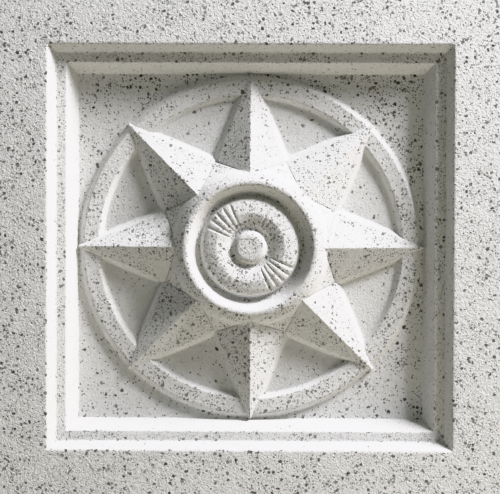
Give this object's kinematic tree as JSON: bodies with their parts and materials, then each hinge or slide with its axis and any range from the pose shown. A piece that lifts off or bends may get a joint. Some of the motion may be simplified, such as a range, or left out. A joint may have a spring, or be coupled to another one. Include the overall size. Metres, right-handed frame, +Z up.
{
  "type": "architectural medallion",
  "caption": "Square cast-stone wall panel with a ridged star on a flat ring and a round hub, set in a moulded square recess.",
  "frame": {"origin": "middle of the flat back face, where the panel meets the wall", "axes": "+X to the right and +Z up along the wall, +Y into the wall; the carved face looks along -Y"},
  "size_m": [0.61, 0.092, 0.61],
  "materials": {
    "cast_stone": "acid-washed white cast stone with black and grey aggregate specks"
  },
  "bodies": {
    "root": {"medallion_panel": "cast_stone"}
  },
  "joints": []
}
